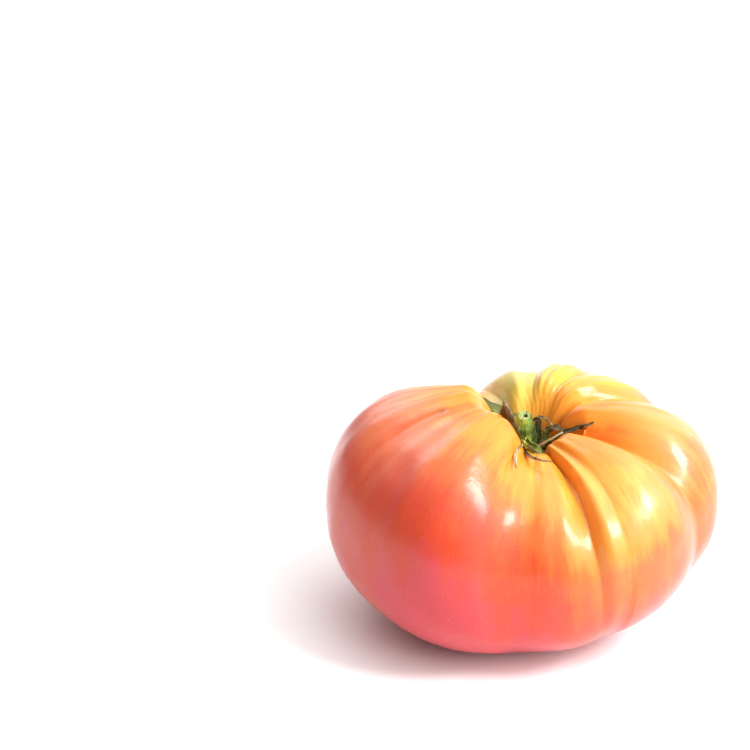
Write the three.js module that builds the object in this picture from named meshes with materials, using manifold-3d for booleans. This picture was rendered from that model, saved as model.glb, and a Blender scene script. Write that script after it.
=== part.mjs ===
// Ribbed beefsteak tomato, as picked: a lobed fruit with a deep stem cavity, the dried calyx that lies in
// that cavity, and the cut stub of the stalk that stands on the calyx.
// Millimetres, +Z up. The origin is the middle of the small flat spot that the fruit rests on.
// The fruit's own axis runs from its blossom end to its stem cavity, with its own zero at mid height.

import * as THREE from "three";
import { mergeVertices } from "three/addons/utils/BufferGeometryUtils.js";
import Module from "manifold-3d";

const { degToRad, lerp, smoothstep } = THREE.MathUtils;

// How the fruit lies: where its own zero stands over the flat spot, and how its axis leans
const ZERO_AT = new THREE.Vector3(12.3, 6.9, 40);
const LEAN_X = degToRad(3);
const LEAN_Y = degToRad(-5.5);

// Heights and radii along the fruit's axis
const CAVITY_FLOOR = 12;
const CAVITY_FLOOR_RADIUS = 6;
const CAVITY_WALL_POWER = 0.55;
const SHOULDER_POWER = 2.15;
const BELLY_POWER = 2.4;
const BLOSSOM_END = -40.5;
const BLOSSOM_DIMPLE = 2.6;
const BLOSSOM_DIMPLE_RADIUS = 7;

// Each lobe, counter-clockwise from the right, starts at a crease. The crease has an azimuth at the cavity
// and one at the equator, in degrees, a depth, and two levels of the surface between which it runs. Level 0
// is the middle of the cavity, 1 the lobe's crest, 2 the equator, where the lobe is widest, and 3 the
// blossom end. The lobe's middle has a reach and a height at the equator (waist), and a height (crest) and a
// radius (rim) at its crest.
const LOBES = [
  { azimuth: [-15, -28], depth: 6.5, run: [0, 2.8], reach: 54.8, waist: -2, crest: 26.1, rim: 17.5 },
  { azimuth: [24, 17], depth: 3.6, run: [0, 2.5], reach: 48.3, waist: 0, crest: 27.6, rim: 18.5 },
  { azimuth: [52, 50], depth: 1.8, run: [0.5, 2.6], reach: 47.2, waist: 0, crest: 28.9, rim: 19.5 },
  { azimuth: [78, 78], depth: 1.6, run: [0.5, 2.7], reach: 46.7, waist: 0, crest: 26.7, rim: 19.5 },
  { azimuth: [110, 108], depth: 2.2, run: [0.4, 2.6], reach: 51.8, waist: -2, crest: 19.5, rim: 18.5 },
  { azimuth: [152, 149], depth: 2, run: [0, 2.5], reach: 62.5, waist: 0, crest: 34.8, rim: 18.5 },
  { azimuth: [205, 197], depth: 0.8, run: [0.3, 2.6], reach: 60.5, waist: -4, crest: 31.8, rim: 17.5 },
  { azimuth: [264, 249], depth: 2.8, run: [0, 1.75], reach: 49.7, waist: -11.3, crest: 18.2, rim: 15.5 },
  { azimuth: [308, 287.6], depth: 5, run: [0, 2.6], reach: 50.4, waist: -4, crest: 18.2, rim: 10.5 },
  { azimuth: [322, 298.5], depth: 2.1, run: [0.95, 2.4], reach: 52.5, waist: -4.5, crest: 21.3, rim: 15 },
];
const LOBE_HOLD = 2.5;
const CREASE_SHARPNESS = 0.6;
const CREASE_ROUNDNESS = 0.25;
const CREASE_ONSET = 0.5;
const CREASE_TURN_LEVEL = 1.8;
const LAST_LEVEL = 3;

// Facets of the fruit
const COLUMNS_PER_LOBE = 10;
const ROWS = 39;
const COLUMN_CROWDING = 0.6;

// The calyx: a low receptacle on the cavity's floor, with sepals that leave it at ROOT_RADIUS. A sepal has
// the azimuth of its root, the turn of its heading from that azimuth at the root (veer) and at the tip
// (swing), a size (length and width), a pitch at root, middle and tip, the half angle that its section rolls
// up by, a twist, and the power of its taper, which is higher where the tip is blunt. Angles are in degrees.
const CLEARANCE = 0.35;
const SKIN_LIFT = 0.6;
const RECEPTACLE_RADIUS = 5.6;
const RECEPTACLE_HEIGHT = 1.6;
const ROOT_RADIUS = 4.6;
const ROOT_HEIGHT = 1.2;
const BLADE_THICKNESS = 0.7;
const BLADE_STEPS = 14;
const BLADE_COLUMNS = 4;
const SEPALS = {
  backLeft: { azimuth: 77, veer: 67, swing: 42, size: [27.4, 4.6], pitch: [62, 10, 17], roll: 45, point: 3 },
  upright: { azimuth: 231, veer: -24, swing: 24, size: [23, 4.4], pitch: [74, 66, 70], roll: 60, point: 4 },
  hook: { azimuth: 53, veer: -98, swing: -96, size: [16, 1.8], pitch: [138, 48, -56], roll: 80 },
  curl: { azimuth: -2, veer: -5, swing: -33, size: [10.2, 4.4], pitch: [74, 57, -45], roll: 100, point: 4 },
  right: { azimuth: -16, veer: -8, swing: -3, size: [18.7, 3.4], pitch: [53, 30, 26], roll: 80, twist: 25 },
  strand: { azimuth: 277, veer: -10, swing: 88, size: [17, 1.4], pitch: [48, 40, 27], roll: 40 },
  front: { azimuth: 260, veer: -31, swing: 69, size: [17.2, 7.4], pitch: [66, 22, -2], roll: 150, point: 8 },
  spike: { azimuth: 256, veer: -16, swing: 70, size: [25.7, 1.5], pitch: [67, 8, 16], roll: 60 },
  strap: { azimuth: 260, veer: -19, swing: 13, size: [27, 1.8], pitch: [68, 14, -9], roll: 50 },
  back: { azimuth: 58, swing: 10, size: [8, 4], pitch: [62, 66, 60], roll: 50 },
};

// The stalk's stub: a ribbed cone a little off the fruit's axis, cut off aslant, with a pith hollow in its
// cut end
const STUB_HEIGHT = 10.6;
const STUB_FOOT_RADIUS = 4;
const STUB_WAIST_RADIUS = 3.45;
const STUB_TOP_RADIUS = 2;
const STUB_FOOT_AT = new THREE.Vector2(-1.5, 0.6);
const STUB_LEAN = new THREE.Vector2(0.6, -1.2);
const STUB_SIDES = 30;
const STUB_RIBS = 5;
const STUB_RIB_SHARE = 0.09;
const STUB_CUT_SLOPE = 0.45;
const PITH_RADIUS = 0.6;
const PITH_DEPTH = 1;

const ease = (x) => smoothstep(x, 0, 1);

// A lobe's own value, which it holds around its middle and which meets its neighbour's at the crease
function lobeValue(key, index, across) {
  const side = across < 0.5 ? -1 : 1;
  const neighbour = LOBES[(index + side + LOBES.length) % LOBES.length];
  return lerp(LOBES[index][key], neighbour[key], 0.5 * Math.abs(2 * across - 1) ** LOBE_HOLD);
}

function creaseAzimuth(index, level) {
  const [atCavity, atEquator] = LOBES[index % LOBES.length].azimuth;
  const lap = index < LOBES.length ? 0 : 360;
  return lap + lerp(atCavity, atEquator, ease(level / CREASE_TURN_LEVEL));
}

// How deep a crease cuts at a level
function creaseDepth(index, level) {
  const { depth, run } = LOBES[index % LOBES.length];
  const [start, end] = run;
  return depth * ease((level - start) / CREASE_ONSET) * (1 - ease((level - 1) / (end - 1)));
}

// The crease's section across a lobe: 1 in the crease, 0 on the lobe's middle, softer below the crest
function creaseSection(across, level) {
  const softness = 0.06 + 0.31 * ease((level - 1) / 1.2);
  const lowest = softness ** CREASE_SHARPNESS;
  const highest = (1 + softness ** 2) ** (CREASE_SHARPNESS / 2);
  const here = (Math.sin(Math.PI * across) ** 2 + softness ** 2) ** (CREASE_SHARPNESS / 2);
  const sharp = 1 - (here - lowest) / (highest - lowest);
  const round = (2 * across - 1) ** 2;
  return lerp(sharp, round, CREASE_ROUNDNESS);
}

// Radius and height of a lobe's profile before its creases are cut
function profilePoint({ reach, waist, crest, rim }, level) {
  if (level <= 1) {
    const radius = rim * level;
    const wall = Math.max((radius - CAVITY_FLOOR_RADIUS) / (rim - CAVITY_FLOOR_RADIUS), 0);
    const climb = (1 - Math.cos(Math.PI * wall ** CAVITY_WALL_POWER)) / 2;
    return new THREE.Vector2(radius, lerp(CAVITY_FLOOR, crest, climb));
  }
  const angle = ((level - Math.min(Math.floor(level), 2)) * Math.PI) / 2;
  const power = 2 / (level < 2 ? SHOULDER_POWER : BELLY_POWER);
  const rise = Math.max(Math.sin(angle), 0) ** power;
  const fall = Math.max(Math.cos(angle), 0) ** power;
  if (level < 2) {
    return new THREE.Vector2(lerp(rim, reach, rise), lerp(waist, crest, fall));
  }
  return new THREE.Vector2(reach * fall, lerp(waist, BLOSSOM_END, rise));
}

// A point of the fruit's skin, in the fruit's own frame, or of a skin lifted off it
function fruitPoint(index, across, level, lift = 0) {
  const values = {};
  for (const key of ["reach", "waist", "crest", "rim"]) {
    values[key] = lobeValue(key, index, across);
  }
  const step = 0.004;
  const before = profilePoint(values, Math.max(level - step, 0));
  const after = profilePoint(values, Math.min(level + step, LAST_LEVEL));
  const tangent = level < LAST_LEVEL ? after.sub(before).normalize() : new THREE.Vector2(-1, 0);
  const depth = lerp(creaseDepth(index, level), creaseDepth(index + 1, level), ease(across));
  const inset = creaseSection(across, level) * depth - lift;
  const point = profilePoint(values, level);
  const radius = Math.max(point.x + inset * tangent.y, 0);
  let height = point.y - inset * tangent.x;
  if (level > 2) {
    height += BLOSSOM_DIMPLE * Math.exp(-((radius / BLOSSOM_DIMPLE_RADIUS) ** 2));
  }
  const azimuth = degToRad(lerp(creaseAzimuth(index, level), creaseAzimuth(index + 1, level), across));
  return new THREE.Vector3(radius * Math.cos(azimuth), radius * Math.sin(azimuth), height);
}

// The fruit's closed skin: a sphere's facets, laid out lobe by lobe with more columns near the creases
function fruitGeometry(lift) {
  const columns = LOBES.length * COLUMNS_PER_LOBE;
  const geometry = new THREE.SphereGeometry(1, columns, ROWS);
  const { position, uv } = geometry.attributes;
  for (let vertex = 0; vertex < position.count; vertex += 1) {
    const column = Math.round(uv.getX(vertex) * columns) % columns;
    const level = vertexLevel(vertex, columns);
    const index = Math.floor(column / COLUMNS_PER_LOBE);
    const even = (column % COLUMNS_PER_LOBE) / COLUMNS_PER_LOBE;
    const across = lerp(even, (1 - Math.cos(Math.PI * even)) / 2, COLUMN_CROWDING);
    const point = fruitPoint(index, across, level, lift);
    position.setXYZ(vertex, point.x, point.y, point.z);
  }
  return closed(geometry);
}

function vertexLevel(vertex, columns) {
  return (Math.floor(vertex / (columns + 1)) / ROWS) * LAST_LEVEL;
}

// A geometry with only positions, whose shared vertices are merged
function closed(geometry) {
  geometry.deleteAttribute("normal");
  geometry.deleteAttribute("uv");
  return mergeVertices(geometry);
}

// The fruit pressed flat where it rests
function pressedFlat(geometry) {
  const { position } = geometry.attributes;
  for (let vertex = 0; vertex < position.count; vertex += 1) {
    position.setZ(vertex, Math.max(position.getZ(vertex), 0));
  }
  return geometry;
}

// The frame of each step along a sepal: its place, the way across it and the way up from its face
function sepalFrames({ azimuth, veer = 0, swing, size, pitch, twist = 0 }) {
  const root = degToRad(azimuth);
  const place = new THREE.Vector3(ROOT_RADIUS * Math.cos(root), ROOT_RADIUS * Math.sin(root), ROOT_HEIGHT);
  place.z += CAVITY_FLOOR;
  const frames = [];
  for (let step = 0; step <= BLADE_STEPS; step += 1) {
    const along = step / BLADE_STEPS;
    const heading = degToRad(azimuth + lerp(veer, swing, along));
    const [first, middle, last] = pitch;
    const bend = first * (1 - along) * (1 - 2 * along) + middle * 4 * along * (1 - along);
    const slope = degToRad(bend + last * along * (2 * along - 1));
    const forward = new THREE.Vector3(
      Math.cos(slope) * Math.cos(heading),
      Math.cos(slope) * Math.sin(heading),
      Math.sin(slope),
    );
    const across = new THREE.Vector3(-Math.sin(heading), Math.cos(heading), 0);
    across.applyAxisAngle(forward, degToRad(twist * along));
    const up = new THREE.Vector3().crossVectors(forward, across);
    frames.push({ along, place: place.clone(), across, up });
    place.addScaledVector(forward, size[0] / BLADE_STEPS);
  }
  return frames;
}

// A sepal's blade: two faces split into triangles alike, joined round their edge
function sepalGeometry(sepal) {
  const { point = 2 } = sepal;
  const frames = sepalFrames(sepal);
  const faces = [[], []];
  for (const { along, place, across, up } of frames) {
    const taper = lerp(0.75, 1, ease(along * 3)) * (1 - 0.85 * along ** point);
    const halfWidth = (sepal.size[1] / 2) * taper;
    const roll = degToRad(sepal.roll) * taper;
    for (let column = 0; column <= BLADE_COLUMNS; column += 1) {
      const angle = roll * ((2 * column) / BLADE_COLUMNS - 1);
      const middle = place.clone();
      middle.addScaledVector(across, (halfWidth * Math.sin(angle)) / roll);
      middle.addScaledVector(up, (halfWidth * (1 - Math.cos(angle))) / roll);
      const normal = up.clone().multiplyScalar(Math.cos(angle)).addScaledVector(across, -Math.sin(angle));
      faces[0].push(middle.clone().addScaledVector(normal, BLADE_THICKNESS / 2));
      faces[1].push(middle.clone().addScaledVector(normal, -BLADE_THICKNESS / 2));
    }
  }
  const geometry = new THREE.BufferGeometry().setFromPoints([...faces[0], ...faces[1]]);
  geometry.setIndex(bladeTriangles(frames.length - 1, BLADE_COLUMNS));
  return geometry;
}

// Triangles of a blade with an upper and a lower grid of vertices
function bladeTriangles(steps, columns) {
  const lower = (steps + 1) * (columns + 1);
  const at = (step, column) => step * (columns + 1) + column;
  const triangles = [];
  const quad = (a, b, c, d) => triangles.push(a, b, c, a, c, d);
  for (let step = 0; step < steps; step += 1) {
    for (let column = 0; column < columns; column += 1) {
      const a = at(step, column);
      const b = at(step + 1, column);
      const c = at(step + 1, column + 1);
      const d = at(step, column + 1);
      quad(a, b, c, d);
      triangles.push(a + lower, c + lower, b + lower, a + lower, d + lower, c + lower);
    }
    quad(at(step, 0), at(step, 0) + lower, at(step + 1, 0) + lower, at(step + 1, 0));
    quad(at(step + 1, columns), at(step + 1, columns) + lower, at(step, columns) + lower, at(step, columns));
  }
  for (let column = 0; column < columns; column += 1) {
    quad(at(0, column), at(0, column + 1), at(0, column + 1) + lower, at(0, column) + lower);
    quad(at(steps, column + 1), at(steps, column), at(steps, column) + lower, at(steps, column + 1) + lower);
  }
  return triangles;
}

// A turned body about the fruit's axis, from its profile's radii and heights
function turned(profile, sides) {
  const points = profile.map(([radius, height]) => new THREE.Vector2(radius, height));
  const geometry = new THREE.LatheGeometry(points, sides);
  geometry.rotateX(Math.PI / 2);
  return geometry;
}

// The receptacle: a low dome that stands just clear of the cavity's floor
function receptacleGeometry() {
  const foot = CAVITY_FLOOR + CLEARANCE;
  const top = CAVITY_FLOOR + RECEPTACLE_HEIGHT;
  const profile = [
    [0, foot],
    [RECEPTACLE_RADIUS, foot],
    [RECEPTACLE_RADIUS, foot + 0.5],
    [RECEPTACLE_RADIUS * 0.8, top],
    [0, top],
  ];
  return closed(turned(profile, STUB_SIDES));
}

// The stub: its ribs fade into the cut end, which slopes towards the front
function stubGeometry() {
  const foot = CAVITY_FLOOR + RECEPTACLE_HEIGHT + CLEARANCE;
  const profile = [
    [0, 0],
    [STUB_FOOT_RADIUS, 0],
    [STUB_FOOT_RADIUS * 0.97, 0.8],
    [STUB_WAIST_RADIUS, STUB_HEIGHT * 0.25],
    [STUB_WAIST_RADIUS * 0.97, STUB_HEIGHT * 0.5],
    [STUB_WAIST_RADIUS * 0.86, STUB_HEIGHT * 0.75],
    [STUB_TOP_RADIUS, STUB_HEIGHT * 0.96],
    [STUB_TOP_RADIUS * 0.85, STUB_HEIGHT],
    [PITH_RADIUS * 1.4, STUB_HEIGHT],
    [PITH_RADIUS, STUB_HEIGHT - PITH_DEPTH],
    [0, STUB_HEIGHT - PITH_DEPTH],
  ];
  const geometry = closed(turned(profile, STUB_SIDES));
  const { position } = geometry.attributes;
  const point = new THREE.Vector3();
  for (let vertex = 0; vertex < position.count; vertex += 1) {
    point.fromBufferAttribute(position, vertex);
    const share = Math.max(point.z / STUB_HEIGHT, 0);
    const rib = 1 + STUB_RIB_SHARE * Math.cos(STUB_RIBS * Math.atan2(point.y, point.x)) * (1 - ease(share));
    const cut = STUB_CUT_SLOPE * point.y * ease((share - 0.6) / 0.35);
    const middle = STUB_FOOT_AT.clone().addScaledVector(STUB_LEAN, share ** 1.5);
    position.setXYZ(vertex, point.x * rib + middle.x, point.y * rib + middle.y, point.z + cut + foot);
  }
  return geometry;
}

const wasm = await Module();
wasm.setup();

function solid(geometry) {
  const vertProperties = new Float32Array(geometry.attributes.position.array);
  const triVerts = new Uint32Array(geometry.index.array);
  return new wasm.Manifold(new wasm.Mesh({ numProp: 3, vertProperties, triVerts }));
}

function geometryOf(body) {
  const { vertProperties, triVerts } = body.getMesh();
  const geometry = new THREE.BufferGeometry();
  geometry.setAttribute("position", new THREE.BufferAttribute(new Float32Array(vertProperties), 3));
  geometry.setIndex(new THREE.BufferAttribute(new Uint32Array(triVerts), 1));
  return geometry;
}

// The stub grown by the clearance, which the sepals stay out of
function stubRoom() {
  const grown = stubGeometry();
  const share = 1 + CLEARANCE / STUB_TOP_RADIUS;
  const foot = new THREE.Vector3(STUB_FOOT_AT.x, STUB_FOOT_AT.y, CAVITY_FLOOR + RECEPTACLE_HEIGHT);
  grown.translate(-foot.x, -foot.y, -foot.z);
  grown.scale(share, share, 1);
  grown.translate(foot.x, foot.y, foot.z);
  return grown;
}

// Receptacle and sepals grown together, clear of the skin and of the stub
function calyxGeometry() {
  let calyx = solid(receptacleGeometry());
  for (const sepal of Object.values(SEPALS)) {
    calyx = calyx.add(solid(sepalGeometry(sepal)));
  }
  calyx = calyx.subtract(solid(fruitGeometry(SKIN_LIFT)));
  calyx = calyx.subtract(solid(stubRoom()));
  const pieces = calyx.decompose();
  pieces.sort((one, other) => other.volume() - one.volume());
  return geometryOf(pieces[0]);
}

function named(name, geometry, look) {
  const mesh = new THREE.Mesh(geometry, new THREE.MeshStandardMaterial(look));
  mesh.name = name;
  return mesh;
}

const lean = new THREE.Quaternion().setFromEuler(new THREE.Euler(LEAN_X, LEAN_Y, 0, "ZYX"));
const lying = new THREE.Matrix4().compose(ZERO_AT, lean, new THREE.Vector3(1, 1, 1));

const crown = new THREE.Group();
crown.position.copy(ZERO_AT);
crown.quaternion.copy(lean);
crown.add(
  named("calyx", calyxGeometry(), { color: "#5d5a2c", roughness: 0.85, metalness: 0 }),
  named("pedicel", stubGeometry(), { color: "#7f9a33", roughness: 0.6, metalness: 0 }),
);

const tomato = new THREE.Group();
tomato.add(
  named("fruit", pressedFlat(fruitGeometry(0).applyMatrix4(lying)), {
    color: "#f28a55",
    roughness: 0.22,
    metalness: 0,
  }),
  crown,
);

export default tomato;
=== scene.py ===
# Ribbed beefsteak tomato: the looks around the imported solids. Lengths below are in millimetres, and meshes
# are in metres. The fruit, the calyx and the stalk's stub follow the same formulas as the solids.
import math

import bpy
import numpy as np
from mathutils import Matrix, Vector
from mathutils.bvhtree import BVHTree


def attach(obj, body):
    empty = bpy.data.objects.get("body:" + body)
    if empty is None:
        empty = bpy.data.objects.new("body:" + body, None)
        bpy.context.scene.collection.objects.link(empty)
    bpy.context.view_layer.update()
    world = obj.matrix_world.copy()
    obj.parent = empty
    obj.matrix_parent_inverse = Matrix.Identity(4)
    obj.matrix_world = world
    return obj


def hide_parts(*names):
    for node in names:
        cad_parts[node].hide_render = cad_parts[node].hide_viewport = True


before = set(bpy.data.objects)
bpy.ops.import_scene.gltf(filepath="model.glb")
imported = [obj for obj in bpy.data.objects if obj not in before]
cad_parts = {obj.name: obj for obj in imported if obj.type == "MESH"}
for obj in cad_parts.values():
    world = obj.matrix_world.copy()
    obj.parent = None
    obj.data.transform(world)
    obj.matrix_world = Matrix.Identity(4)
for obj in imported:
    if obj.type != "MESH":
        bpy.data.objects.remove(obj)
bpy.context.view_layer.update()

rng = np.random.default_rng(20)
PER_METRE = 1000

# How the fruit lies
ZERO_AT = np.array([12.3, 6.9, 40.0])
LEAN_X = math.radians(3)
LEAN_Y = math.radians(-5.5)

# Heights and radii along the fruit's axis
CAVITY_FLOOR = 12.0
CAVITY_FLOOR_RADIUS = 6.0
CAVITY_WALL_POWER = 0.55
SHOULDER_POWER = 2.15
BELLY_POWER = 2.4
BLOSSOM_END = -40.5
BLOSSOM_DIMPLE = 2.6
BLOSSOM_DIMPLE_RADIUS = 7.0

# A level runs down the skin: 0 is the middle of the cavity's floor, 1 the crest, 2 the equator and 3 the
# blossom end. Each lobe starts at a crease: its azimuths at cavity and equator, its depth and its levels.
# Then the lobe's middle: reach and height at the equator, height and radius at the crest. Last come the
# number and the height of the low ribs that run down the lobe.
LOBE_KEYS = ("cavity", "equator", "depth", "start", "end", "reach", "waist", "crest", "rim", "ribs", "rib")
LOBES = [dict(zip(LOBE_KEYS, row)) for row in (
    (-15, -28, 6.5, 0.00, 2.8, 54.8, -2, 26.1, 17.5, 3, 0.22),
    (24, 17, 3.6, 0.00, 2.5, 48.3, 0, 27.6, 18.5, 3, 0.35),
    (52, 50, 1.8, 0.50, 2.6, 47.2, 0, 28.9, 19.5, 3, 0.30),
    (78, 78, 1.6, 0.50, 2.7, 46.7, 0, 26.7, 19.5, 2, 0.30),
    (110, 108, 2.2, 0.40, 2.6, 51.8, -2, 19.5, 18.5, 3, 0.25),
    (152, 149, 2.0, 0.00, 2.5, 62.5, 0, 34.8, 18.5, 4, 0.22),
    (205, 197, 0.8, 0.30, 2.6, 60.5, -4, 31.8, 17.5, 4, 0.22),
    (264, 249, 2.8, 0.00, 1.75, 49.7, -11.3, 18.2, 15.5, 4, 0.16),
    (308, 287.6, 5.0, 0.00, 2.6, 50.4, -4, 18.2, 10.5, 1, 0.10),
    (322, 298.5, 2.1, 0.95, 2.4, 52.5, -4.5, 21.3, 15.0, 3, 0.15),
)]
LOBE_HOLD = 2.5
CREASE_SHARPNESS = 0.6
CREASE_ROUNDNESS = 0.25
CREASE_ONSET = 0.5
CREASE_TURN_LEVEL = 1.8
CREASE_SOFTNESS = 0.06
CREASE_SOFTNESS_GAIN = 0.31
CREASE_SOFTNESS_SPAN = 1.2
PROFILE_STEP = 0.004
LAST_LEVEL = 3.0
ROWS = 240
COLUMNS_PER_DEGREE = 0.85
FEWEST_COLUMNS = 20
EVEN_SHARE = 0.4

# Low relief that the solids leave out: heights, wavelengths and numbers of waves. A window is the level where
# something eases in, over how many levels, the level where it eases out, and over how many.
RIB_WINDOW = (0.55, 0.4, 1.2, 1.1)
RELIEF_WINDOW = (0.5, 0.4, 2.7, 0.3)
WAVE_HEIGHT = 0.32
WAVE_LENGTHS = (26, 60)
WAVE_COUNT = 14
BUMP_HEIGHT = 0.06
BUMP_LENGTHS = (7, 14)
BUMP_COUNT = 18
WRINKLE_WINDOW = (0.25, 0.2, 0.5, 0.45)
WRINKLE_HEIGHT = 0.05
WRINKLES_AROUND = 46
WRINKLE_WANDER = 2.2
WRINKLE_LENGTHS = (9, 20)
WRINKLE_COUNT = 8

# Ripeness runs from 0, green-yellow, to 1, red. It grows with the level, and these places ripen sooner or
# later than their level: azimuth, level, width in degrees, width in levels, amount.
RIPENESS_LEVELS = (0.0, 0.6, 1.0, 1.3, 1.6, 2.0, 2.4, 3.0)
RIPENESS_VALUES = (0.46, 0.42, 0.39, 0.51, 0.68, 0.88, 0.98, 1.0)
RIPENESS_PLACES = {
    "green back": (94, 0.95, 36, 0.5, -0.31),
    "back left": (120, 1.2, 40, 0.7, -0.08),
    "left lobes": (185, 1.4, 46, 0.5, 0.15),
    "left flank": (180, 2.1, 36, 0.5, -0.16),
    "front left belly": (226, 1.75, 34, 0.5, 0.06),
    "front top": (262, 1.1, 22, 0.35, 0.05),
    "front streak": (271, 1.05, 7, 0.3, -0.10),
    "front right low": (288, 2.1, 26, 0.5, -0.20),
    "right front": (306, 1.7, 32, 0.6, -0.16),
    "right": (345, 1.85, 40, 0.5, -0.18),
    "right top": (345, 1.05, 40, 0.3, 0.10),
    "right back": (30, 1.3, 34, 0.6, -0.04),
}

# The pale waxy bloom: strongest on the shoulders, weaker on two sides (azimuth, width, loss), and strong
# again at the lower right (a place as above). The streaks of colour are noise drawn out along the lobes.
BLOOM_LEAST = 0.05
BLOOM_GAIN = 0.85
BLOOM_WINDOW = (1.0, 0.45, 1.5, 0.6)
BLOOM_LOSSES = {"back": (75, 60, 0.75), "front": (262, 30, 0.65)}
BLOOM_LOW_RIGHT = (300, 2.2, 40, 0.5, 0.8)
STREAK_AROUND = 5
STREAK_ALONG = 0.8

# The wart on the left lobe, with a pit in its middle, and the rayed scar at the blossom end
WART_AZIMUTH = 200
WART_LEVEL = 1.11
WART_LEVEL_WEIGHT = 60
WART_RADIUS = 2.4
WART_HEIGHT = 0.45
WART_PIT_DEPTH = 1.1
WART_PIT_SHARE = 0.45
WART_MARK = 0.9
WART_MARK_SHARE = 0.8
SCAR_LEVEL = 2.5
SCAR_RADIUS = 4.0
SCAR_DEPTH = 0.35
SCAR_RAYS = 9
SCAR_RAY_SHARE = 0.5

# The calyx. A sepal has the azimuth of its root, the turn of its heading at root and tip, its length and
# width, its pitch at root, middle and tip, the half angle its section rolls up by, its twist, the power of
# its taper, and how dry it is: 0 is fresh yellow-green, 0.5 dull olive, 1 brown and 1.5 bleached. A lump of
# the receptacle has its height, its number around and its turn from the middle outwards.
ROOT_RADIUS = 4.6
ROOT_HEIGHT = 1.2
RECEPTACLE_RADIUS = 5.6
RECEPTACLE_HEIGHT = 1.6
RECEPTACLE_SIDES = 72
RECEPTACLE_RINGS = 14
RECEPTACLE_SPREAD = 1.12
RECEPTACLE_FLAT_SHARE = 0.45
RECEPTACLE_UNDER_SHARE = 0.4
RECEPTACLE_FLUTES = 8
RECEPTACLE_FLUTE_SHARE = 0.05
RECEPTACLE_LUMPS = ((0.14, 13, 5), (0.08, 29, -9))
RECEPTACLE_DRY = 0.5
CLEARANCE = 0.35
SKIN_GAP = 0.3
SEPAL_STEPS = 56
SEPAL_COLUMNS = 12
SEPAL_KEYS = ("azimuth", "veer", "swing", "length", "width", "pitch", "roll", "twist", "point", "dry")
SEPALS = {name: dict(zip(SEPAL_KEYS, row)) for name, row in {
    "backLeft": (77, 67, 42, 27.4, 4.6, (62, 10, 17), 45, 0, 3, 0.42),
    "upright": (233, -18, 28, 23.0, 4.6, (74, 67, 72), 60, 0, 4, 0.80),
    "hook": (53, -98, -96, 16.0, 1.8, (138, 48, -56), 80, 0, 2, 0.95),
    "curl": (-2, -5, -33, 10.2, 4.4, (74, 57, -45), 100, 0, 4, 0.50),
    "right": (-16, -8, -3, 18.7, 3.4, (53, 30, 26), 80, 25, 2, 0.62),
    "strand": (277, -10, 88, 17.0, 1.4, (48, 40, 27), 40, 0, 2, 1.45),
    "front": (260, -31, 69, 17.2, 7.4, (66, 22, -2), 150, 0, 8, 0.00),
    "spike": (256, -16, 70, 25.7, 1.5, (67, 8, 16), 60, 0, 2, 1.0),
    "strap": (260, -19, 13, 27.0, 2.4, (68, 14, -9), 50, 0, 2, 1.40),
    "back": (58, 0, 10, 8.0, 4.0, (62, 66, 60), 50, 0, 2, 0.60),
}.items()}

# How dried sepals crinkle: the share of a fresh one and what drying adds, then waves along the blade, each
# with its amount and its radians from root to tip. Heading and twist are in degrees, margin and face in
# millimetres, and the others are shares of the width or the roll.
CRINKLE_FRESH = 0.35
CRINKLE_DRIED = 0.25
SEPAL_WAVES = {
    "heading": (5, 9),
    "twist": (22, 7),
    "edge": (0.10, 23),
    "fine edge": (0.06, 41),
    "roll": (0.25, 11),
    "margin": (0.42, 17),
    "face": (0.10, 29),
}
MARGIN_LAG = 1.3
MARGIN_POWER = 1.5
FULL_WAVE_WIDTH = 4
FACE_WAVE_ACROSS = 5
ROOT_WIDTH_SHARE = 0.75
ROOT_TAPER_RATE = 3
TIP_LOSS = 0.9
EDGE_THICKNESS = 0.16
MIDRIB_THICKNESS = 0.26
MIDRIB_WIDTH = 0.3
MIDRIB_LOSS = 0.6
VEIN_WIDTH = 0.14
SIDE_VEIN_AT = 0.55
SIDE_VEIN_WIDTH = 0.1
SIDE_VEIN_STRENGTH = 0.6
VEIN_LOSS = 0.5
TIP_DRY = 0.45
TIP_DRY_POWER = 3
MARGIN_DRY = 0.25

# The stalk's stub
STUB_HEIGHT = 10.6
STUB_FOOT_RADIUS = 4.0
STUB_WAIST_RADIUS = 3.45
STUB_TOP_RADIUS = 2.0
STUB_FOOT_AT = (-1.5, 0.6)
STUB_LEAN = (0.6, -1.2)
STUB_LEAN_POWER = 1.5
STUB_RIBS = 5
STUB_RIB_SHARE = 0.09
STUB_CUT_SLOPE = 0.45
STUB_SIDES = 120
STUB_RINGS = 64
STUB_BLUR = 7
KNUCKLE_SHARE = 0.03
KNUCKLE_RATE = 2.1

# The stub's side as radius and height. Its cut end as rings: share of the cut's radius, height over the cut,
# and how much of the cut's colour it has. The pith's rings: share of its radius, depth, and how much painted
# shade its hollow gets.
STUB_SIDE = (
    (STUB_FOOT_RADIUS, 0.0),
    (STUB_FOOT_RADIUS * 0.97, 0.8),
    (STUB_WAIST_RADIUS, STUB_HEIGHT * 0.25),
    (STUB_WAIST_RADIUS * 0.97, STUB_HEIGHT * 0.5),
    (STUB_WAIST_RADIUS * 0.86, STUB_HEIGHT * 0.75),
    (STUB_TOP_RADIUS, STUB_HEIGHT * 0.96),
    (STUB_TOP_RADIUS * 0.85, STUB_HEIGHT),
)
CUT_RINGS = ((0.93, 0.06, 0.7), (0.8, 0.02, 1.0), (0.7, -0.05, 1.0), (0.6, -0.05, 1.0), (0.5, -0.05, 1.0))
PITH_RADIUS = 0.5
PITH_RINGS = ((1.4, 0.12, 0.1), (1.15, 0.3, 0.7), (1.0, 0.7, 1.0), (0.7, 1.0, 1.0))
PITH_SHIFT = (0.55, -0.1)

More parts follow.
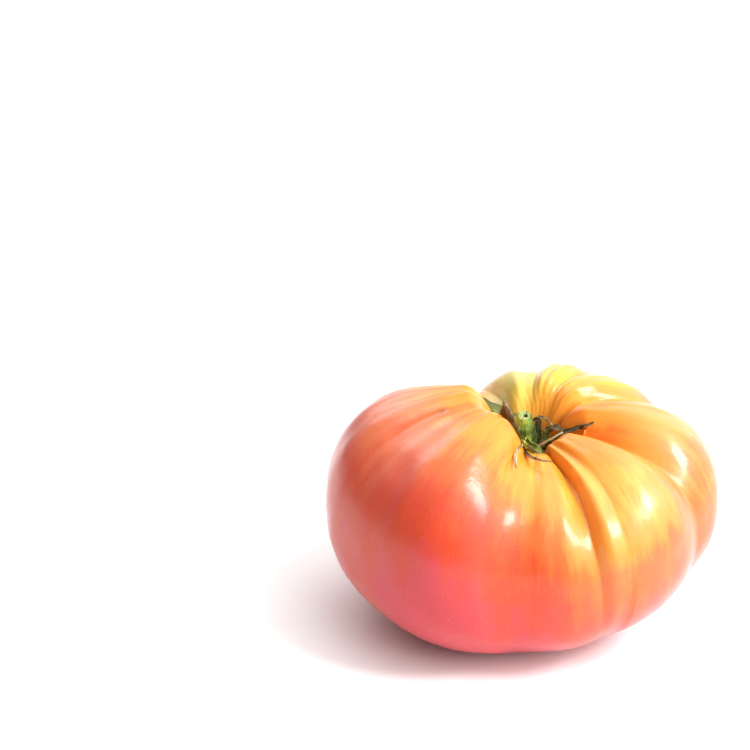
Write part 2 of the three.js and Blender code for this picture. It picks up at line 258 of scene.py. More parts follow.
# Waves around the stub: amount, number around, and turn from foot to cut or phase. The fine ribs are shares
# of the radius, and the ragged cut is in millimetres. The cut's slope and its ragged edge start at a share
# of the stub's height and grow over a span of it, and the ragged edge is lost towards the pith.
FINE_RIBS = ((0.018, 17, 2), (0.012, 31, -5))
RAGGED_CUT = ((0.16, 3, 0.6), (0.10, 7, 2.0), (0.05, 13, 0.0))
SLOPE_START = 0.6
SLOPE_SPAN = 0.35
RAGGED_START = 0.85
RAGGED_SPAN = 0.15
RAGGED_LOSS = 0.6
STUB_AGE = 0.24
STUB_AGE_AROUND = 0.46
STUB_AGE_TURN = 0.2
STUB_AGE_LOSS = 0.22
STUB_END_AGE = 0.5

# The span that most values of a noise texture lie in, and how rough its finer detail is
NOISE_SPAN = (0.3, 0.7)
NOISE_ROUGHNESS = 0.55

# Camera, floor and light, in metres, degrees and watts. A light's direction is its azimuth to the right of
# the camera's side and its elevation. The sky brightens towards one direction.
CAMERA_AT = (-0.0348, -0.4349, 0.2501)
CAMERA_PITCH = 21.48
CAMERA_FIELD = 26.0
CAMERA_SENSOR = 36
FLOOR_HALF = 6.0
FLOOR_DROP = 0.0002
FLOOR_ROUGHNESS = 0.6
FLOOR_TONES = ((0.3, (0.84, 0.83, 0.82)), (0.7, (0.88, 0.87, 0.865)))
LIGHTS_AIM = (0.005, 0, 0.04)
LIGHTS = {
    "window": dict(direction=(65, 46), distance=1.3, size=(0.36, 0.46), power=15),
    "ceiling": dict(direction=(110, 72), distance=1.6, size=(1.4, 1.4), power=4),
    "back left": dict(direction=(-150, 44), distance=1.4, size=(0.7, 1.0), power=6.5, diffuse=False),
    "front": dict(direction=(52, 30), distance=1.5, size=(1.6, 1.0), power=15, glossy=False),
}
SKY_TOWARDS = (0.72, 0.42, 0.55)
SKY_SPAN = {"From Min": -0.4, "From Max": 0.9, "To Min": 0.15, "To Max": 2.0}


def smooth(x):
    x = np.clip(x, 0, 1)
    return x * x * (3 - 2 * x)


def window(level, start, rise, stop, fall):
    """1 between two levels, easing in from 0 before and out to 0 after."""
    return smooth((level - start) / rise) * (1 - smooth((level - stop) / fall))


def lobe_values(key, index, across):
    """A lobe's own value at its middle, easing into its neighbour's across the crease."""
    own = np.array([lobe[key] for lobe in LOBES], float)
    neighbour = np.where(across < 0.5, index - 1, index + 1) % len(LOBES)
    share = 0.5 * (2 * np.abs(across - 0.5)) ** LOBE_HOLD
    return own[index] * (1 - share) + own[neighbour] * share


def crease_values(key, index, last=0):
    """A value of the crease a lobe starts at, with last added where the round is complete."""
    own = np.array([lobe[key] for lobe in LOBES], float)
    return own[index % len(LOBES)] + np.where(index >= len(LOBES), last, 0)


def crease_azimuth(index, level):
    turn = smooth(level / CREASE_TURN_LEVEL)
    at_cavity = crease_values("cavity", index, 360)
    at_equator = crease_values("equator", index, 360)
    return at_cavity + (at_equator - at_cavity) * turn


def crease_depth(index, level):
    onset = smooth((level - crease_values("start", index)) / CREASE_ONSET)
    run_out = smooth((level - 1) / (crease_values("end", index) - 1))
    return crease_values("depth", index) * onset * (1 - run_out)


def crease_section(across, level):
    softness = CREASE_SOFTNESS + CREASE_SOFTNESS_GAIN * smooth((level - 1) / CREASE_SOFTNESS_SPAN)
    lowest = softness**CREASE_SHARPNESS
    highest = (1 + softness**2) ** (CREASE_SHARPNESS / 2)
    here = (np.sin(np.pi * across) ** 2 + softness**2) ** (CREASE_SHARPNESS / 2)
    sharp = 1 - (here - lowest) / (highest - lowest)
    return sharp + ((2 * across - 1) ** 2 - sharp) * CREASE_ROUNDNESS


def profile(reach, waist, crest, rim, level):
    """Radius and height of a lobe's profile before its creases are cut."""
    inner = rim * np.clip(level, 0, 1)
    wall = np.clip((inner - CAVITY_FLOOR_RADIUS) / (rim - CAVITY_FLOOR_RADIUS), 0, 1)
    climb = (1 - np.cos(np.pi * wall**CAVITY_WALL_POWER)) / 2
    inner_height = CAVITY_FLOOR + (crest - CAVITY_FLOOR) * climb
    angle = np.clip(level - 1, 0, 1) * np.pi / 2
    out = np.sin(angle) ** (2 / SHOULDER_POWER)
    down = np.maximum(np.cos(angle), 0) ** (2 / SHOULDER_POWER)
    angle = np.clip(level - 2, 0, 1) * np.pi / 2
    under = np.sin(angle) ** (2 / BELLY_POWER)
    back = np.maximum(np.cos(angle), 0) ** (2 / BELLY_POWER)
    radius = np.where(level <= 1, inner, np.where(level <= 2, rim + (reach - rim) * out, reach * back))
    upper = waist + (crest - waist) * down
    lower = waist + (BLOSSOM_END - waist) * under
    return radius, np.where(level <= 1, inner_height, np.where(level <= 2, upper, lower))


def ripples(points, wavelengths, count):
    """Seeded sum of plane waves through space, from -1 to 1 or so."""
    total = np.zeros(points.shape[:-1])
    for _ in range(count):
        way = rng.normal(size=3)
        way /= np.linalg.norm(way)
        wavelength = rng.uniform(*wavelengths)
        phase = rng.uniform(0, 2 * np.pi)
        total += np.sin(points @ way * 2 * np.pi / wavelength + phase)
    return total / math.sqrt(count)


def fruit_surface(index, across, level):
    """Points of the skin in the fruit's own frame, with their azimuth."""
    values = [lobe_values(key, index, across) for key in ("reach", "waist", "crest", "rim")]
    radius, height = profile(*values, level)
    before = profile(*values, np.maximum(level - PROFILE_STEP, 0))
    after = profile(*values, np.minimum(level + PROFILE_STEP, LAST_LEVEL))
    along = np.stack([after[0] - before[0], after[1] - before[1]])
    along /= np.hypot(*along) + 1e-9
    share = smooth(across)
    depth = crease_depth(index, level) * (1 - share) + crease_depth(index + 1, level) * share
    inset = crease_section(across, level) * depth
    ribs = np.array([lobe["ribs"] for lobe in LOBES], float)[index]
    rib = np.array([lobe["rib"] for lobe in LOBES], float)[index]
    rib_wave = np.sin(np.pi * across) * np.cos(2 * np.pi * (ribs * across + 0.5))
    inset += rib * window(level, *RIB_WINDOW) * rib_wave
    radius = np.maximum(radius + inset * along[1], 0)
    height = height - inset * along[0]
    dimple = BLOSSOM_DIMPLE * np.exp(-((radius / BLOSSOM_DIMPLE_RADIUS) ** 2))
    height = height + np.where(level > 2, dimple, 0)
    azimuth = crease_azimuth(index, level) * (1 - across) + crease_azimuth(index + 1, level) * across
    angle = np.radians(azimuth)
    return np.stack([radius * np.cos(angle), radius * np.sin(angle), height], -1), azimuth


def lean_matrix():
    turn_x = Matrix.Rotation(LEAN_X, 3, "X")
    turn_y = Matrix.Rotation(LEAN_Y, 3, "Y")
    return np.array(turn_y @ turn_x)


LEAN = lean_matrix()


def placed(points):
    """From the fruit's own frame, as it lies, still in millimetres."""
    return points @ LEAN.T + ZERO_AT


def capped_faces(rows, columns, flip=False):
    """Faces of a grid closed around its rows, with fans to the two end points that follow the grid's own."""
    row, column = np.meshgrid(np.arange(rows - 1), np.arange(columns), indexing="ij")
    beside = (column + 1) % columns
    corners = (row * columns + column, (row + 1) * columns + column, (row + 1) * columns + beside,
               row * columns + beside)
    quads = np.stack(corners, -1).reshape(-1, 4)
    faces = [tuple(quad[::-1] if flip else quad) for quad in quads]
    count = rows * columns
    last = count - columns
    for column in range(columns):
        beside = (column + 1) % columns
        first, second = (beside, column) if flip else (column, beside)
        faces.append((count, first, second))
        faces.append((count + 1, last + second, last + first))
    return faces


def mesh_piece(name, points, faces, attributes, material):
    """A smooth mesh from points in millimetres, with float and vector attributes for its material."""
    mesh = bpy.data.meshes.new(name)
    mesh.from_pydata((points / PER_METRE).tolist(), [], [list(face) for face in faces])
    mesh.validate()
    mesh.polygons.foreach_set("use_smooth", [True] * len(mesh.polygons))
    for key, values in attributes.items():
        values = np.asarray(values, np.float32)
        if values.ndim == 1:
            mesh.attributes.new(key, "FLOAT", "POINT").data.foreach_set("value", values)
        else:
            mesh.attributes.new(key, "FLOAT_VECTOR", "POINT").data.foreach_set("vector", values.ravel())
    mesh.materials.append(material)
    mesh.update()
    piece = bpy.data.objects.new(name, mesh)
    bpy.context.scene.collection.objects.link(piece)
    return piece


def point_normals(grid):
    """Normals of a grid that is closed around its rows, for displacing it."""
    around = np.roll(grid, -1, 1) - np.roll(grid, 1, 1)
    along = np.gradient(grid, axis=0)
    normals = np.cross(along, around)
    normals /= np.linalg.norm(normals, axis=-1, keepdims=True) + 1e-9
    return normals


def azimuth_gap(azimuth, centre):
    return (azimuth - centre + 180) % 360 - 180


def spot(azimuth, level, place):
    """A soft spot on the skin: azimuth and level of its middle, its width in both, and its amount."""
    centre, at, width, height, amount = place
    gap = (azimuth_gap(azimuth, centre) / width) ** 2 + ((level - at) / height) ** 2
    return amount * np.exp(-gap)


def bloom_values(azimuth, level):
    """How much pale bloom lies on the skin, from 0 to 1."""
    start, rise, stop, fall = BLOOM_WINDOW
    bloom = (BLOOM_LEAST + BLOOM_GAIN * smooth((level - start) / rise)) * (1 - smooth((level - stop) / fall))
    for centre, width, loss in BLOOM_LOSSES.values():
        bloom *= 1 - loss * np.exp(-((azimuth_gap(azimuth, centre) / width) ** 2))
    return np.clip(bloom + spot(azimuth, level, BLOOM_LOW_RIGHT), 0, 1)


def fruit_columns():
    """Lobe index and place across it of each column, with more columns near the creases."""
    index, across = [], []
    for lobe in range(len(LOBES)):
        width = crease_values("equator", np.array(lobe + 1), 360) - LOBES[lobe]["equator"]
        count = max(FEWEST_COLUMNS, round(float(width) * COLUMNS_PER_DEGREE))
        even = np.arange(count) / count
        index += [lobe] * count
        across += list(EVEN_SHARE * even + (1 - EVEN_SHARE) * (1 - np.cos(np.pi * even)) / 2)
    return np.array(index), np.array(across)


def make_fruit(material):
    index, across = fruit_columns()
    columns = len(index)
    levels = np.linspace(0, LAST_LEVEL, ROWS + 1)[1:-1]
    rows = len(levels)
    level = np.repeat(levels[:, None], columns, 1)
    index = np.repeat(index[None, :], rows, 0)
    across = np.repeat(across[None, :], rows, 0)
    points, azimuth = fruit_surface(index, across, level)
    equator = crease_values("equator", index) * (1 - across)
    equator += crease_values("equator", index + 1, 360) * across
    angle = np.radians(equator)

    fade = window(level, *RELIEF_WINDOW)
    lift = WAVE_HEIGHT * fade * ripples(points, WAVE_LENGTHS, WAVE_COUNT)
    lift += BUMP_HEIGHT * fade * ripples(points, BUMP_LENGTHS, BUMP_COUNT)
    wander = WRINKLE_WANDER * ripples(points, WRINKLE_LENGTHS, WRINKLE_COUNT)
    lift += WRINKLE_HEIGHT * window(level, *WRINKLE_WINDOW) * np.sin(angle * WRINKLES_AROUND + wander)
    to_wart = np.abs(azimuth_gap(azimuth, WART_AZIMUTH)) + WART_LEVEL_WEIGHT * np.abs(level - WART_LEVEL)
    wart_at = points.reshape(-1, 3)[np.argmin(to_wart)]
    wart_gap = np.linalg.norm(points - wart_at, axis=-1) / WART_RADIUS
    wart_pit = WART_PIT_DEPTH * np.exp(-((wart_gap / WART_PIT_SHARE) ** 2))
    lift += WART_HEIGHT * (np.exp(-(wart_gap**2)) - wart_pit)
    scar_gap = np.linalg.norm(points[..., :2], axis=-1) / SCAR_RADIUS
    scar = np.where(level > SCAR_LEVEL, np.exp(-(scar_gap**2)), 0)
    lift -= SCAR_DEPTH * scar * (1 + SCAR_RAY_SHARE * np.sin(np.radians(azimuth) * SCAR_RAYS))
    points = placed(points + point_normals(points) * lift[..., None])
    points[..., 2] = np.maximum(points[..., 2], 0)

    ripeness = np.interp(level, RIPENESS_LEVELS, RIPENESS_VALUES)
    for place in RIPENESS_PLACES.values():
        ripeness += spot(azimuth, level, place)
    bloom = bloom_values(azimuth, level)
    around = STREAK_AROUND * np.stack([np.cos(angle), np.sin(angle)], -1)
    streak = np.concatenate([around, STREAK_ALONG * level[..., None]], -1)
    mark = np.maximum(WART_MARK * np.exp(-((wart_gap / WART_MARK_SHARE) ** 2)), scar)

    body = points.reshape(-1, 3)
    top = placed(np.array([[0, 0, CAVITY_FLOOR]]))
    bottom = placed(np.array([[0, 0, BLOSSOM_END + BLOSSOM_DIMPLE]]))
    whole = np.concatenate([body, top, bottom])

    def with_poles(values, first, end):
        return np.concatenate([values.reshape(len(body), -1), [first], [end]]).squeeze()

    attributes = {
        "bloom": with_poles(bloom, [0], [0]),
        "ripeness": with_poles(ripeness, [ripeness[0].mean()], [ripeness[-1].mean()]),
        "streak_at": with_poles(streak, [0, 0, 0], [0, 0, STREAK_ALONG * LAST_LEVEL]),
        "mark": with_poles(mark, [0], [1]),
    }
    return mesh_piece("fruit_skin", whole, capped_faces(rows, columns), attributes, material)


class Nodes:
    """Short calls for building a material's node tree."""

    def __init__(self, name):
        self.material = bpy.data.materials.new(name)
        self.material.use_nodes = True
        self.tree = self.material.node_tree
        self.shader = self.tree.nodes["Principled BSDF"]

    def add(self, kind, inputs=None, **settings):
        node = self.tree.nodes.new(kind)
        for key, value in settings.items():
            setattr(node, key, value)
        for key, value in (inputs or {}).items():
            self.give(node.inputs[key], value)
        return node

    def give(self, socket, value):
        if isinstance(value, bpy.types.NodeSocket):
            self.tree.links.new(value, socket)
        else:
            socket.default_value = value

    def attribute(self, name, vector=False):
        node = self.add("ShaderNodeAttribute", attribute_name=name)
        return node.outputs["Vector" if vector else "Fac"]

    def math(self, operation, first, second=0.0, clamp=False):
        node = self.add("ShaderNodeMath", {0: first, 1: second}, operation=operation, use_clamp=clamp)
        return node.outputs[0]

    def span(self, value, low, high, to_low=0.0, to_high=1.0):
        inputs = {"Value": value, "From Min": low, "From Max": high, "To Min": to_low, "To Max": to_high}
        node = self.add("ShaderNodeMapRange", inputs, interpolation_type="SMOOTHSTEP")
        return node.outputs[0]

    def noise(self, vector, scale, detail):
        inputs = {"Vector": vector, "Scale": scale, "Detail": detail, "Roughness": NOISE_ROUGHNESS}
        return self.add("ShaderNodeTexNoise", inputs).outputs["Fac"]

    def ramp(self, value, stops):
        node = self.add("ShaderNodeValToRGB", {"Fac": value})
        node.color_ramp.interpolation = "EASE"
        elements = node.color_ramp.elements
        while len(elements) < len(stops):
            elements.new(0.5)
        for element, (place, colour) in zip(elements, stops):
            element.position = place
            element.color = (*colour, 1)
        return node.outputs["Color"]

    def mix(self, share, first, second):
        node = self.add("ShaderNodeMix", data_type="RGBA")
        self.give(node.inputs[0], share)
        for socket, value in ((node.inputs[6], first), (node.inputs[7], second)):
            self.give(socket, value if isinstance(value, bpy.types.NodeSocket) else (*value, 1))
        return node.outputs[2]

    def bump(self, height, distance, strength, normal=None):
        inputs = {"Height": height, "Distance": distance, "Strength": strength}
        if normal is not None:
            inputs["Normal"] = normal
        return self.add("ShaderNodeBump", inputs).outputs["Normal"]

    def finish(self, **inputs):
        for key, value in inputs.items():
            self.give(self.shader.inputs[key.replace("_", " ")], value)
        return self.material


def skin_material():
    make = Nodes("tomato_skin")
    place = make.add("ShaderNodeTexCoord").outputs["Object"]
    streak_at = make.attribute("streak_at", vector=True)
    streak = make.noise(streak_at, 1.9, 3)
    fine_streak = make.noise(streak_at, 9.0, 3)
    blotch = make.noise(place, 34.0, 3)
    ripe = make.attribute("ripeness")
    ripe = make.math("ADD", ripe, make.span(streak, *NOISE_SPAN, -0.045, 0.045))
    ripe = make.math("ADD", ripe, make.span(fine_streak, *NOISE_SPAN, -0.02, 0.02))
    ripe = make.math("ADD", ripe, make.span(blotch, *NOISE_SPAN, -0.07, 0.07), clamp=True)
    colour = make.ramp(ripe, (
        (0.00, (0.50, 0.42, 0.07)),
        (0.12, (0.62, 0.45, 0.08)),
        (0.28, (0.74, 0.37, 0.045)),
        (0.45, (0.74, 0.235, 0.024)),
        (0.62, (0.65, 0.108, 0.014)),
        (0.78, (0.585, 0.054, 0.018)),
        (0.94, (0.58, 0.050, 0.064)),
    ))
    cells = make.add("ShaderNodeTexVoronoi", {"Vector": place, "Scale": 1500.0})
    speckle = make.span(cells.outputs["Distance"], 0.34, 0.14)
    grain = make.span(make.noise(place, 260.0, 2), 0.42, 0.62)
    speckle = make.math("MULTIPLY", make.math("MULTIPLY", speckle, grain), 0.10)
    colour = make.mix(speckle, colour, (0.95, 0.55, 0.16))
    colour = make.mix(make.math("MULTIPLY", make.attribute("mark"), 0.85), colour, (0.20, 0.085, 0.03))
    roughness = make.span(make.noise(place, 120.0, 3), *NOISE_SPAN, 0.18, 0.26)
    bloom = make.attribute("bloom")
    waves = make.bump(make.noise(place, 75.0, 2), 0.0009, 0.35)
    peel = make.bump(make.noise(place, 620.0, 2), 0.00012, 0.5, waves)
    return make.finish(
        Base_Color=colour, Roughness=roughness, Normal=peel, IOR=1.37,
        Coat_Weight=bloom, Coat_Roughness=0.45, Coat_IOR=1.5,
        Subsurface_Weight=0.12, Subsurface_Radius=(1.0, 0.35, 0.15), Subsurface_Scale=0.004,
    )


def sepal_material():
    make = Nodes("dried_sepal")
    place = make.add("ShaderNodeTexCoord").outputs["Object"]
    dry = make.attribute("dry")
    dry = make.math("ADD", dry, make.span(make.noise(place, 420.0, 4), *NOISE_SPAN, -0.22, 0.22))
    dry = make.math("DIVIDE", dry, 1.6, clamp=True)
    colour = make.ramp(dry, (
        (0.00, (0.52, 0.50, 0.06)),
        (0.16, (0.20, 0.22, 0.035)),
        (0.34, (0.115, 0.13, 0.035)),
        (0.52, (0.085, 0.065, 0.022)),
        (0.66, (0.10, 0.055, 0.022)),
        (0.82, (0.26, 0.19, 0.09)),
        (1.00, (0.46, 0.37, 0.20)),
    ))
    vein = make.span(make.attribute("vein"), 0.55, 1.0)
    colour = make.mix(make.math("MULTIPLY", vein, 0.5), colour, (0.30, 0.27, 0.11))
    spots = make.span(make.noise(place, 1300.0, 2), 0.55, 0.75, 0, 0.5)
    colour = make.mix(spots, colour, (0.035, 0.022, 0.01))
    wrinkles = make.bump(make.noise(place, 900.0, 4), 0.0003, 0.8)
    ribs = make.bump(make.attribute("vein"), 0.00025, 0.7, wrinkles)
    roughness = make.span(make.noise(place, 500.0, 2), *NOISE_SPAN, 0.62, 0.9)
    return make.finish(Base_Color=colour, Roughness=roughness, Normal=ribs, IOR=1.4)


def stalk_material():
    make = Nodes("green_stalk")
    place = make.add("ShaderNodeTexCoord").outputs["Object"]
    # Painted shade: the grooves between the stub's ribs are painted darker, less so up the stub; the noise
    # adds the stalk's own uneven tone.
    painted_groove_shade = make.attribute("painted_groove_shade")
    patch = make.noise(place, 260.0, 4)
    groove_shade_and_tone = make.math("ADD", make.math("MULTIPLY", painted_groove_shade, 0.45), make.span(patch, *NOISE_SPAN, -0.2, 0.3))
    colour = make.ramp(make.math("ADD", groove_shade_and_tone, make.attribute("age"), clamp=True), (
        (0.00, (0.33, 0.37, 0.05)),
        (0.35, (0.17, 0.23, 0.03)),
        (0.65, (0.085, 0.13, 0.02)),
        (1.00, (0.04, 0.055, 0.013)),
    ))
    cut_grain = make.span(make.noise(place, 900.0, 3), 0.35, 0.7)
    cut_colour = make.mix(cut_grain, (0.36, 0.42, 0.13), (0.24, 0.29, 0.08))
    colour = make.mix(make.attribute("cut"), colour, cut_colour)
    # Painted shade: the pith's hollow is painted near black, darker deeper in, standing for its shade.
    colour = make.mix(make.attribute("pith"), colour, (0.035, 0.04, 0.012))
    streaks = make.bump(make.noise(place, 1500.0, 3), 0.00012, 0.7)
    roughness = make.span(patch, *NOISE_SPAN, 0.42, 0.62)
    return make.finish(Base_Color=colour, Roughness=roughness, Normal=streaks, IOR=1.42)


def sepal_wave(name, along, phase):
    amount, radians = SEPAL_WAVES[name]
    return amount * math.sin(radians * along + phase)


def gauss(x):
    return math.exp(-(x**2))


def sepal_points(sepal, tree):
    """Upper and lower grid of a sepal's blade in millimetres as it lies, with attributes."""
    root = math.radians(sepal["azimuth"])
    place = np.array([ROOT_RADIUS * math.cos(root), ROOT_RADIUS * math.sin(root), CAVITY_FLOOR + ROOT_HEIGHT])
    first, middle, last = sepal["pitch"]
    phases = rng.uniform(0, 2 * np.pi, 6)
    crinkle = CRINKLE_FRESH + CRINKLE_DRIED * min(sepal["dry"], 1)
    upper, lower, dry, vein = [], [], [], []
    for step in range(SEPAL_STEPS + 1):
        along = step / SEPAL_STEPS
        heading = sepal["azimuth"] + sepal["veer"] + (sepal["swing"] - sepal["veer"]) * along
        heading += crinkle * sepal_wave("heading", along, phases[0]) * along
        heading = math.radians(heading)
        pitch = first * (1 - along) * (1 - 2 * along) + middle * 4 * along * (1 - along)
        pitch = math.radians(pitch + last * along * (2 * along - 1))
        forward = np.array([math.cos(pitch) * math.cos(heading), math.cos(pitch) * math.sin(heading),
                            math.sin(pitch)])
        across = np.array([-math.sin(heading), math.cos(heading), 0.0])
        turn = math.radians(sepal["twist"] * along + crinkle * sepal_wave("twist", along, phases[1]) * along)
        across = np.array(Matrix.Rotation(turn, 3, Vector(forward)) @ Vector(across))
        up = np.cross(forward, across)
        root_taper = ROOT_WIDTH_SHARE + (1 - ROOT_WIDTH_SHARE) * float(smooth(along * ROOT_TAPER_RATE))
        taper = root_taper * (1 - TIP_LOSS * along ** sepal["point"])
        ragged = 1 + sepal_wave("edge", along, phases[2]) + sepal_wave("fine edge", along, phases[3])
        half = sepal["width"] / 2 * taper * ragged
        roll = math.radians(sepal["roll"]) * taper * (1 + crinkle * sepal_wave("roll", along, phases[4]))
        for column in range(SEPAL_COLUMNS + 1):
            side = 2 * column / SEPAL_COLUMNS - 1
            angle = roll * side
            point = place + across * half * math.sin(angle) / roll + up * half * (1 - math.cos(angle)) / roll
            normal = up * math.cos(angle) - across * math.sin(angle)
            margin = abs(side) ** MARGIN_POWER * min(1, sepal["width"] / FULL_WAVE_WIDTH)
            lag = MARGIN_LAG if side > 0 else 0
            wave = crinkle * margin * sepal_wave("margin", along, phases[5] + lag)
            wave += crinkle * sepal_wave("face", along, FACE_WAVE_ACROSS * side)
            side_vein = SIDE_VEIN_STRENGTH * gauss((abs(side) - SIDE_VEIN_AT) / SIDE_VEIN_WIDTH)
            thick = EDGE_THICKNESS + MIDRIB_THICKNESS * gauss(side / MIDRIB_WIDTH) * (1 - MIDRIB_LOSS * along)
            point = off_skin(placed(point + normal * wave), tree, thick + SKIN_GAP)
            normal = LEAN @ normal
            upper.append(point + normal * thick)
            lower.append(point - normal * thick)
            dry.append(sepal["dry"] + TIP_DRY * along**TIP_DRY_POWER + MARGIN_DRY * margin * along)
            vein.append(max(gauss(side / VEIN_WIDTH), side_vein) * (1 - VEIN_LOSS * along))
        place = place + forward * sepal["length"] / SEPAL_STEPS
    return np.array(upper + lower), dry + dry, vein + vein


def off_skin(point, tree, gap):
    """The point itself, or lifted clear of the skin where it would dip into it."""
    nearest, normal, _, _ = tree.find_nearest(Vector(point / PER_METRE))
    height = (Vector(point / PER_METRE) - nearest).dot(normal) * PER_METRE
    if height >= gap:
        return point
    return point + np.array(normal) * (gap - height)


def blade_faces(steps, columns):
    """Faces of a blade with an upper and a lower grid, joined round the edge."""
    lower = (steps + 1) * (columns + 1)

    def at(step, column):
        return step * (columns + 1) + column

    faces = []
    for step in range(steps):
        for column in range(columns):
            quad = (at(step, column), at(step + 1, column), at(step + 1, column + 1), at(step, column + 1))
            faces.append(quad)
            faces.append(tuple(corner + lower for corner in reversed(quad)))
        for column, flip in ((0, False), (columns, True)):
            first, second = at(step, column), at(step + 1, column)
            edge = (first, first + lower, second + lower, second)
            faces.append(edge[::-1] if flip else edge)
    for step, flip in ((0, False), (steps, True)):
        for column in range(columns):
            first, second = at(step, column), at(step, column + 1)
            edge = (first, second, second + lower, first + lower)
            faces.append(edge[::-1] if flip else edge)
    return faces


def receptacle_points():
    """A low lumpy dome on the cavity's floor: rings from its middle outwards and under."""
    angle = np.arange(RECEPTACLE_SIDES) * 2 * np.pi / RECEPTACLE_SIDES
    points = []
    for ring in range(1, RECEPTACLE_RINGS + 1):
        share = ring / RECEPTACLE_RINGS
        flutes = 1 + RECEPTACLE_FLUTE_SHARE * np.cos(RECEPTACLE_FLUTES * angle) * share
        radius = RECEPTACLE_RADIUS * min(1, RECEPTACLE_SPREAD * share) * flutes
        fall = max(0.0, (share - RECEPTACLE_FLAT_SHARE) / (1 - RECEPTACLE_FLAT_SHARE))
        height = CAVITY_FLOOR + RECEPTACLE_HEIGHT - (RECEPTACLE_HEIGHT - CLEARANCE) * fall**2
        coarse, fine = (amount * np.sin(number * angle + turn * share)
                        for amount, number, turn in RECEPTACLE_LUMPS)
        height = height + (coarse * share + fine) * (1 - fall)
        points.append(np.stack([radius * np.cos(angle), radius * np.sin(angle), height], -1))
    under = points[-1].copy()
    under[:, :2] *= RECEPTACLE_UNDER_SHARE
    under[:, 2] = CAVITY_FLOOR + CLEARANCE
    points.append(under)
    return np.concatenate(points)


def make_calyx(material, tree):
    ends = np.array([[0, 0, CAVITY_FLOOR + RECEPTACLE_HEIGHT], [0, 0, CAVITY_FLOOR + CLEARANCE]])
    points = [placed(np.concatenate([receptacle_points(), ends]))]
    faces = capped_faces(RECEPTACLE_RINGS + 1, RECEPTACLE_SIDES)
    start = len(points[0])
    dry = [RECEPTACLE_DRY] * start
    vein = [0.0] * start
    for sepal in SEPALS.values():
        blade, blade_dry, blade_vein = sepal_points(sepal, tree)
        points.append(blade)
        for face in blade_faces(SEPAL_STEPS, SEPAL_COLUMNS):
            faces.append(tuple(corner + start for corner in face))
        dry += blade_dry
        vein += blade_vein
        start += len(blade)
    attributes = {"dry": dry, "vein": vein}
    return mesh_piece("calyx_sepals", np.concatenate(points), faces, attributes, material)


def stub_rings():
    """Rings from the stub's foot into its pith: radius, height, share of the cut's colour, and share of the
    painted shade in the pith's hollow.
    """
    radii, heights = np.array(STUB_SIDE).T
    fine = np.linspace(0, STUB_HEIGHT, STUB_RINGS)
    radii = np.interp(fine, heights, radii)
    kernel = np.ones(STUB_BLUR) / STUB_BLUR
    radii = np.convolve(np.pad(radii, STUB_BLUR // 2, mode="edge"), kernel, mode="valid")
    rings = [(radius, height, 0.0, 0.0) for radius, height in zip(radii, fine)]
    rings += [(radii[-1] * share, STUB_HEIGHT + rise, cut, 0.0) for share, rise, cut in CUT_RINGS]
    # Painted shade: the pith's rings get more of the dark colour the deeper they lie.
    rings += [(PITH_RADIUS * share, STUB_HEIGHT - depth, 1.0, hole_shade) for share, depth, hole_shade in PITH_RINGS]
    return rings, radii[-1]


def make_stub(material):
    """The stub: ribbed side, rounded cut edge, sloping cut end and pith hollow."""
    rings, cut_radius = stub_rings()
    angle = np.arange(STUB_SIDES) * 2 * np.pi / STUB_SIDES
    ragged = sum(amount * np.sin(number * angle + phase) for amount, number, phase in RAGGED_CUT)
    points, painted_groove_shade, age, cut, pith = [], [], [], [], []
    for radius, height, is_cut, pith_shade_share in rings:
        share = min(height / STUB_HEIGHT, 1)
        fade = 1 - float(smooth(share))
        rib = 1 + STUB_RIB_SHARE * np.cos(STUB_RIBS * angle) * fade
        fine_rib = sum(amount * np.sin(number * angle + turn * share) for amount, number, turn in FINE_RIBS)
        knuckle = KNUCKLE_SHARE * math.sin(height * KNUCKLE_RATE)
        out = radius * (rib + (fine_rib + knuckle) * (1 - is_cut))
        x, y = out * np.cos(angle), out * np.sin(angle)
        inwards = is_cut * (1 - radius / cut_radius)
        z = CAVITY_FLOOR + RECEPTACLE_HEIGHT + CLEARANCE + height
        z = z + STUB_CUT_SLOPE * y * float(smooth((share - SLOPE_START) / SLOPE_SPAN))
        z = z + ragged * float(smooth((share - RAGGED_START) / RAGGED_SPAN)) * (1 - RAGGED_LOSS * inwards)
        middle = np.array(STUB_FOOT_AT) + np.array(STUB_LEAN) * share**STUB_LEAN_POWER
        middle = middle + np.array(PITH_SHIFT) * inwards
        points.append(np.stack([x + middle[0], y + middle[1], z], -1))
        # Painted shade: how much darker each point is painted for lying in a groove between the ribs.
        painted_groove_shade += list(0.5 - 0.5 * np.cos(STUB_RIBS * angle) * fade)
        age += list(STUB_AGE + STUB_AGE_AROUND * np.cos(angle - STUB_AGE_TURN) - STUB_AGE_LOSS * share)
        cut += [is_cut] * STUB_SIDES
        # Painted shade in the pith's hollow.
        pith += [pith_shade_share] * STUB_SIDES
    whole = placed(np.concatenate(points + [[points[0].mean(0)], [points[-1].mean(0)]]))
    attributes = {
        "painted_groove_shade": painted_groove_shade + [0, 0],
        "age": age + [STUB_END_AGE, STUB_END_AGE],
        "cut": cut + [0, 1],
        "pith": pith + [0, 1],
    }
    faces = capped_faces(len(rings), STUB_SIDES, flip=True)
    return mesh_piece("stalk_stub", whole, faces, attributes, material)


def skin_tree(piece):
    mesh = piece.data
    return BVHTree.FromPolygons([v.co for v in mesh.vertices], [p.vertices for p in mesh.polygons])


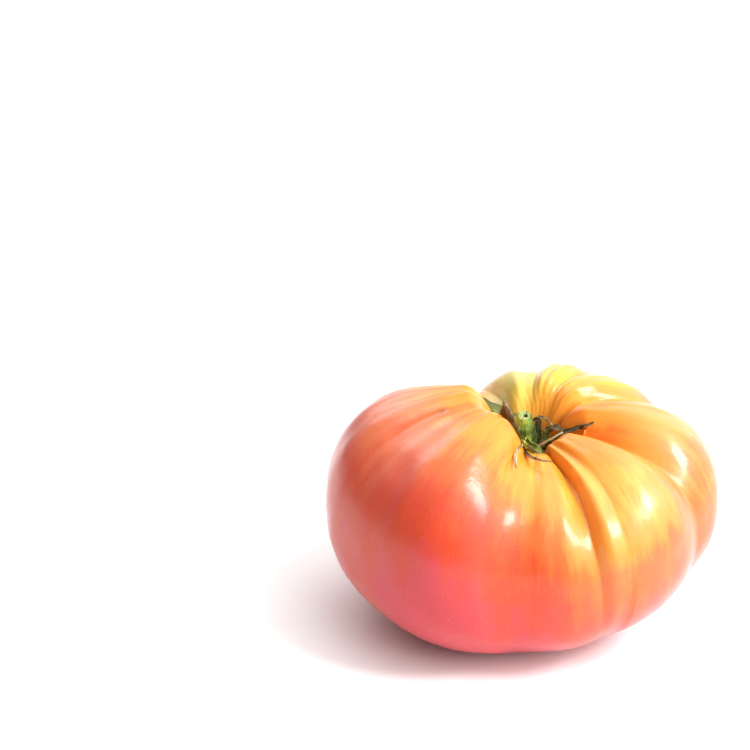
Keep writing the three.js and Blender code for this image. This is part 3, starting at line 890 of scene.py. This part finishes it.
def area_light(name, direction, distance, size, power, glossy=True, diffuse=True):
    """A rectangular light that faces LIGHTS_AIM and shows in reflections, in diffuse light or in both."""
    azimuth, elevation = (math.radians(angle) for angle in direction)
    way = Vector((math.sin(azimuth) * math.cos(elevation), -math.cos(azimuth) * math.cos(elevation),
                  math.sin(elevation)))
    data = bpy.data.lights.new(name, "AREA")
    data.shape = "RECTANGLE"
    data.size, data.size_y = size
    data.energy = power
    lamp = bpy.data.objects.new(name, data)
    lamp.location = Vector(LIGHTS_AIM) + way * distance
    lamp.rotation_euler = (-way).to_track_quat("-Z", "Y").to_euler()
    lamp.visible_glossy = glossy
    lamp.visible_diffuse = diffuse
    bpy.context.scene.collection.objects.link(lamp)


def make_stage():
    mesh = bpy.data.meshes.new("floor")
    corners = [(x * FLOOR_HALF, y * FLOOR_HALF, 0) for x, y in ((-1, -1), (1, -1), (1, 1), (-1, 1))]
    mesh.from_pydata(corners, [], [(0, 1, 2, 3)])
    make = Nodes("pale_floor")
    place = make.add("ShaderNodeTexCoord").outputs["Object"]
    tone = make.ramp(make.noise(place, 8.0, 3), FLOOR_TONES)
    mesh.materials.append(make.finish(Base_Color=tone, Roughness=FLOOR_ROUGHNESS))
    floor = bpy.data.objects.new("floor", mesh)
    floor.location.z = -FLOOR_DROP
    bpy.context.scene.collection.objects.link(floor)

    for name, light in LIGHTS.items():
        area_light(name, **light)

    world = bpy.data.worlds.new("studio")
    world.use_nodes = True
    nodes, links = world.node_tree.nodes, world.node_tree.links
    way = nodes.new("ShaderNodeTexCoord").outputs["Generated"]
    facing = nodes.new("ShaderNodeVectorMath")
    facing.operation = "DOT_PRODUCT"
    facing.inputs[1].default_value = Vector(SKY_TOWARDS).normalized()
    strength = nodes.new("ShaderNodeMapRange")
    for key, value in SKY_SPAN.items():
        strength.inputs[key].default_value = value
    links.new(way, facing.inputs[0])
    links.new(facing.outputs["Value"], strength.inputs["Value"])
    links.new(strength.outputs[0], nodes["Background"].inputs["Strength"])
    nodes["Background"].inputs["Color"].default_value = (1, 1, 1, 1)
    bpy.context.scene.world = world
    bpy.context.scene.view_settings.view_transform = "Standard"

    data = bpy.data.cameras.new("camera")
    data.sensor_width = CAMERA_SENSOR
    data.lens = CAMERA_SENSOR / (2 * math.tan(math.radians(CAMERA_FIELD / 2)))
    data.dof.use_dof = False
    camera = bpy.data.objects.new("camera", data)
    camera.location = CAMERA_AT
    camera.rotation_euler = (math.radians(90 - CAMERA_PITCH), 0, 0)
    bpy.context.scene.collection.objects.link(camera)
    bpy.context.scene.camera = camera


make_stage()
fruit = make_fruit(skin_material())
tree = skin_tree(fruit)
calyx = make_calyx(sepal_material(), tree)
stub = make_stub(stalk_material())
for piece, node, slot in (
    (fruit, "fruit", "skin"),
    (calyx, "calyx", "dried_leaf"),
    (stub, "pedicel", "green_stalk"),
):
    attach(piece, "root")
    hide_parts(node)

bpy.context.view_layer.update()
